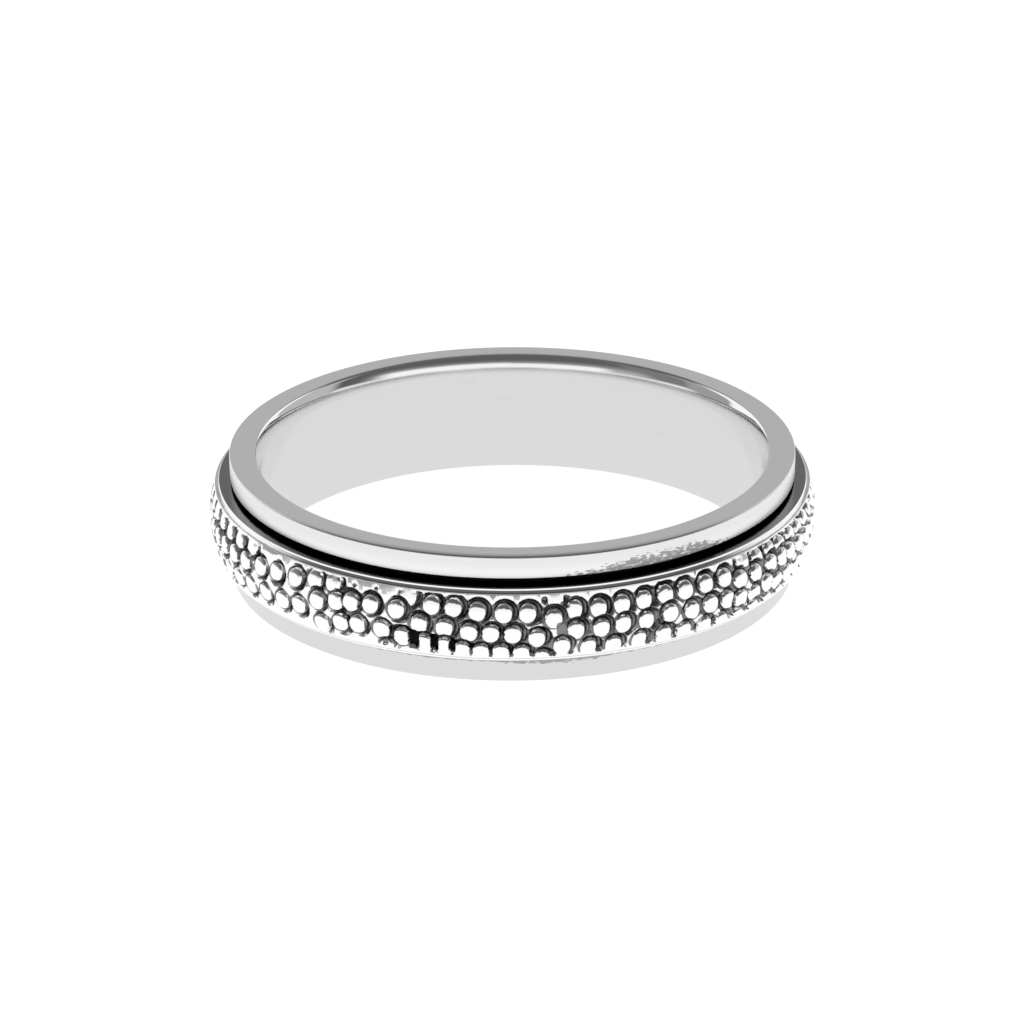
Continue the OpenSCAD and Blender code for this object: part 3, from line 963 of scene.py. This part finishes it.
@dataclass(frozen=True)
class StampedSilver(Silver):
    """Finish of the loose band: polished on the beads and rims, blackened in the grooves and on the sides,
    with painted shade over the black line at each bead's foot.
    """

    name: str = "stamped_silver"
    side: float = 0.2  # Share of light that the band's blackened sides give back
    grey: float = 0.23  # Share that the thinly blackened ground of the grooves gives back
    soot: float = 0.006  # Share that the black line at a bead's foot gives back, patina with painted shade over it
    matt: float = 0.32  # Roughness of blackened metal in the grooves
    side_matt: float = 0.14  # Roughness of the sides

    def material(self) -> bpy.types.Material:
        """Makes the material and returns it."""
        made, nodes = self.started()
        # The foot mark is the black line of patina and painted shade at each bead's foot
        groove, sides, foot = (
            nodes.group(tarnish(), Amount=nodes.mark(mark), **inputs) for mark, inputs in (
                ("groove", {"Start": 0.66, "End": 0.84, "Raggedness": 0.3}),
                ("black", {"Raggedness": 0.2}),
                ("soot", {"Start": 0.2, "End": 0.7}),
            ))
        dark = nodes.mix(sides["Mask"], nodes.mix(foot["Mask"], self.grey, self.soot), self.side)
        matt = nodes.step(sides["Mask"], 0.0, 1.0, self.matt, self.side_matt)
        self.finished(nodes, nodes.most(groove["Mask"], sides["Mask"]), dark, groove["Grain"], matt)
        return made


class Hand(Enum):
    """Side of the scene on which a soft light hangs, seen from the camera."""

    LEFT = -1
    BOTH = 0
    RIGHT = 1


@dataclass(frozen=True)
class SoftLight:
    """Soft light of the surround, bounded by bearings from straight behind the ring and by height."""

    hand: Hand  # Side on which it hangs
    near: float  # Bearing in degrees at which it starts
    far: float  # Bearing at which it ends
    top: float  # Height in degrees up to which it reaches
    soft: float  # Degrees over which its sides fade
    fade: float  # Degrees over which its top fades
    strength: float  # Brightness

    def brightness(self, nodes: Nodes, bearing: Socket, rise: Socket) -> Socket:
        """Adds the light's brightness in a direction.

        Args:
            nodes: Helper of the surround's tree.
            bearing: Bearing from straight behind the ring in degrees, below zero to the left.
            rise: Height above the horizon in degrees.

        Returns:
            The brightness.
        """
        both = self.hand is Hand.BOTH
        aside = nodes.math("ABSOLUTE", bearing) if both else nodes.product(bearing, self.hand.value)
        under = nodes.step(rise, self.top - self.fade / 2, self.top + self.fade / 2, 1.0, 0.0)
        parts = [self.strength, under]
        if self.near > 0:
            parts.append(nodes.step(aside, self.near - self.soft / 2, self.near + self.soft / 2))
        if self.far < 180:
            parts.append(nodes.step(aside, self.far - self.soft / 2, self.far + self.soft / 2, 1.0, 0.0))
        return nodes.product(*parts)


# Columns: the fields of SoftLight in their order
SOFT_LIGHTS = [SoftLight(*row) for row in (
    # The ceiling and the walls over the windows
    (Hand.BOTH, 0, 105, 100, 30, 2, 0.13),
    # The pale wall behind, and the two windows beside it
    (Hand.BOTH, 0, 26, 36, 8, 16, 0.46),
    (Hand.LEFT, 26, 66, 45, 8, 14, 1.0),
    (Hand.RIGHT, 26, 54, 45, 8, 14, 1.0),
    # The greyer walls to the sides
    (Hand.LEFT, 62, 96, 48, 12, 16, 0.34),
    (Hand.RIGHT, 50, 94, 46, 12, 16, 0.5),
    (Hand.LEFT, 90, 130, 56, 16, 14, 0.2),
    # The white edge of the table, which shows higher toward the camera
    (Hand.BOTH, 0, 180, 0, 1, 4, 0.95),
    (Hand.BOTH, 88, 180, 6, 20, 7, 0.98),
    (Hand.LEFT, 132, 180, 14, 20, 10, 1.0),
    (Hand.RIGHT, 116, 180, 15, 20, 10, 1.0),
    # The wall over the viewer
    (Hand.BOTH, 110, 180, 15, 30, 35, 0.6),
)]


@dataclass(frozen=True)
class Studio:
    """White table and soft surround in which the ring lies."""

    table_half: float = 0.6  # Half the table's width in metres
    under: float = 0.77  # Brightness that the table shows to the ring inside the finger hole, in its shade
    open: float = 1.08  # Brightness that it shows outside
    shade_start: float = 9.2  # Distance from the ring's axis in millimetres at which the shade ends
    shade_end: float = 10.1  # Distance at which the full brightness is reached
    dark: float = 0.115  # Brightness of the surround where no light hangs
    elevation: float = 22.856  # Height of the camera above the horizon in degrees
    distance: float = 131.98  # Distance of the camera from its aim in millimetres
    aim: tuple[float, float, float] = (-0.02, 0.0, 1.967)  # Point that the camera looks at
    roll: float = -0.289  # Turn of the camera about its line of sight in degrees
    lens: float = 128.14  # Focal length for the sensor
    sensor: float = 36.0  # Width of the sensor
    sight: tuple[float, float] = (0.01, 10.0)  # Nearest and farthest distance that the camera sees, in metres

    def camera(self) -> None:
        """Sets up the camera."""
        data = bpy.data.cameras.new("camera")
        data.lens, data.sensor_width = self.lens, self.sensor
        data.clip_start, data.clip_end = self.sight
        camera = bpy.data.objects.new("camera", data)
        tilt = Matrix.Rotation(math.radians(90 - self.elevation), 4, "X")
        back = Matrix.Translation((0.0, 0.0, self.distance * MM))
        roll = Matrix.Rotation(math.radians(self.roll), 4, "Z")
        camera.matrix_world = Matrix.Translation(Vector(self.aim) * MM) @ tilt @ back @ roll
        bpy.context.scene.collection.objects.link(camera)
        bpy.context.scene.camera = camera

    def table(self) -> None:
        """Lays the white table under the ring."""
        half = self.table_half
        corners = [(-half, -half, 0), (half, -half, 0), (half, half, 0), (-half, half, 0)]
        mesh = bpy.data.meshes.new("table")
        mesh.from_pydata(corners, [], [(0, 1, 2, 3)])
        table = bpy.data.objects.new("table", mesh)
        bpy.context.scene.collection.objects.link(table)
        mesh.materials.append(self.table_white())

    def table_white(self) -> bpy.types.Material:
        """Returns the table's white, which the ring's shade dims for the metal's reflections alone."""
        made = bpy.data.materials.new("table_white")
        made.use_nodes = True
        nodes = Nodes(made.node_tree)
        shader = made.node_tree.nodes["Principled BSDF"].inputs
        shader["Base Color"].default_value = (0.0, 0.0, 0.0, 1.0)
        shader["Specular IOR Level"].default_value = 0.0
        shader["Emission Color"].default_value = (1.0, 1.0, 1.0, 1.0)
        away = nodes.length(nodes.place())
        lit = nodes.step(away, self.shade_start * MM, self.shade_end * MM, self.under, self.open)
        self.light(nodes, lit, shader["Emission Strength"])
        return made

    def surround(self) -> None:
        """Paints the surround by direction, with every soft light in its place."""
        world = bpy.data.worlds.new("surround")
        bpy.context.scene.world = world
        world.use_nodes = True
        nodes = Nodes(world.node_tree)
        x, y, z = nodes.parts(nodes.add("ShaderNodeTexCoord").outputs["Generated"])
        bearing = nodes.bearing(x, y)
        rise = nodes.product(nodes.math("ARCSINE", z), 360 / TAU)
        lit = nodes.most(self.dark, *(light.brightness(nodes, bearing, rise) for light in SOFT_LIGHTS))
        ground = world.node_tree.nodes["Background"].inputs
        ground["Color"].default_value = (1.0, 1.0, 1.0, 1.0)
        self.light(nodes, lit, ground["Strength"])

    @staticmethod
    def light(nodes: Nodes, lit: Socket, strength: Socket) -> None:
        """Feeds a brightness to a strength, at its full one where the camera sees it straight."""
        seen = nodes.add("ShaderNodeLightPath").outputs["Is Camera Ray"]
        nodes.feed(strength, nodes.most(lit, seen))

    def set_up(self) -> None:
        """Builds the whole studio."""
        self.camera()
        self.table()
        self.surround()
        view = bpy.context.scene.view_settings
        view.view_transform, view.look = "Standard", "None"


def main() -> None:
    """Builds and dresses the ring and reports its pieces."""
    logging.basicConfig(level=logging.INFO, format="%(message)s")
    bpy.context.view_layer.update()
    _, high = (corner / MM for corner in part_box("inner_band"))
    loose_low, loose_high = (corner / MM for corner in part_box("spinner_band"))
    hole = next(mount for mount in frame["record"]["mounts"] if mount["name"] == "finger_hole")
    fixed = FixedBand(width=high.z, hole_r=hole["dims"]["r_mm"])
    loose = LooseBand(crown_r=loose_high.x, half=(loose_high.z - loose_low.z) / 2, middle=high.z / 2)
    Studio().set_up()
    for band in (fixed, loose):
        piece = band.build()
        band.dress(piece)
        triangles = len(piece.data.loops) - 2 * len(piece.data.polygons)
        log.info("%s: %d points, %d triangles", piece.name, len(piece.data.vertices), triangles)


if __name__ == "__main__":
    main()
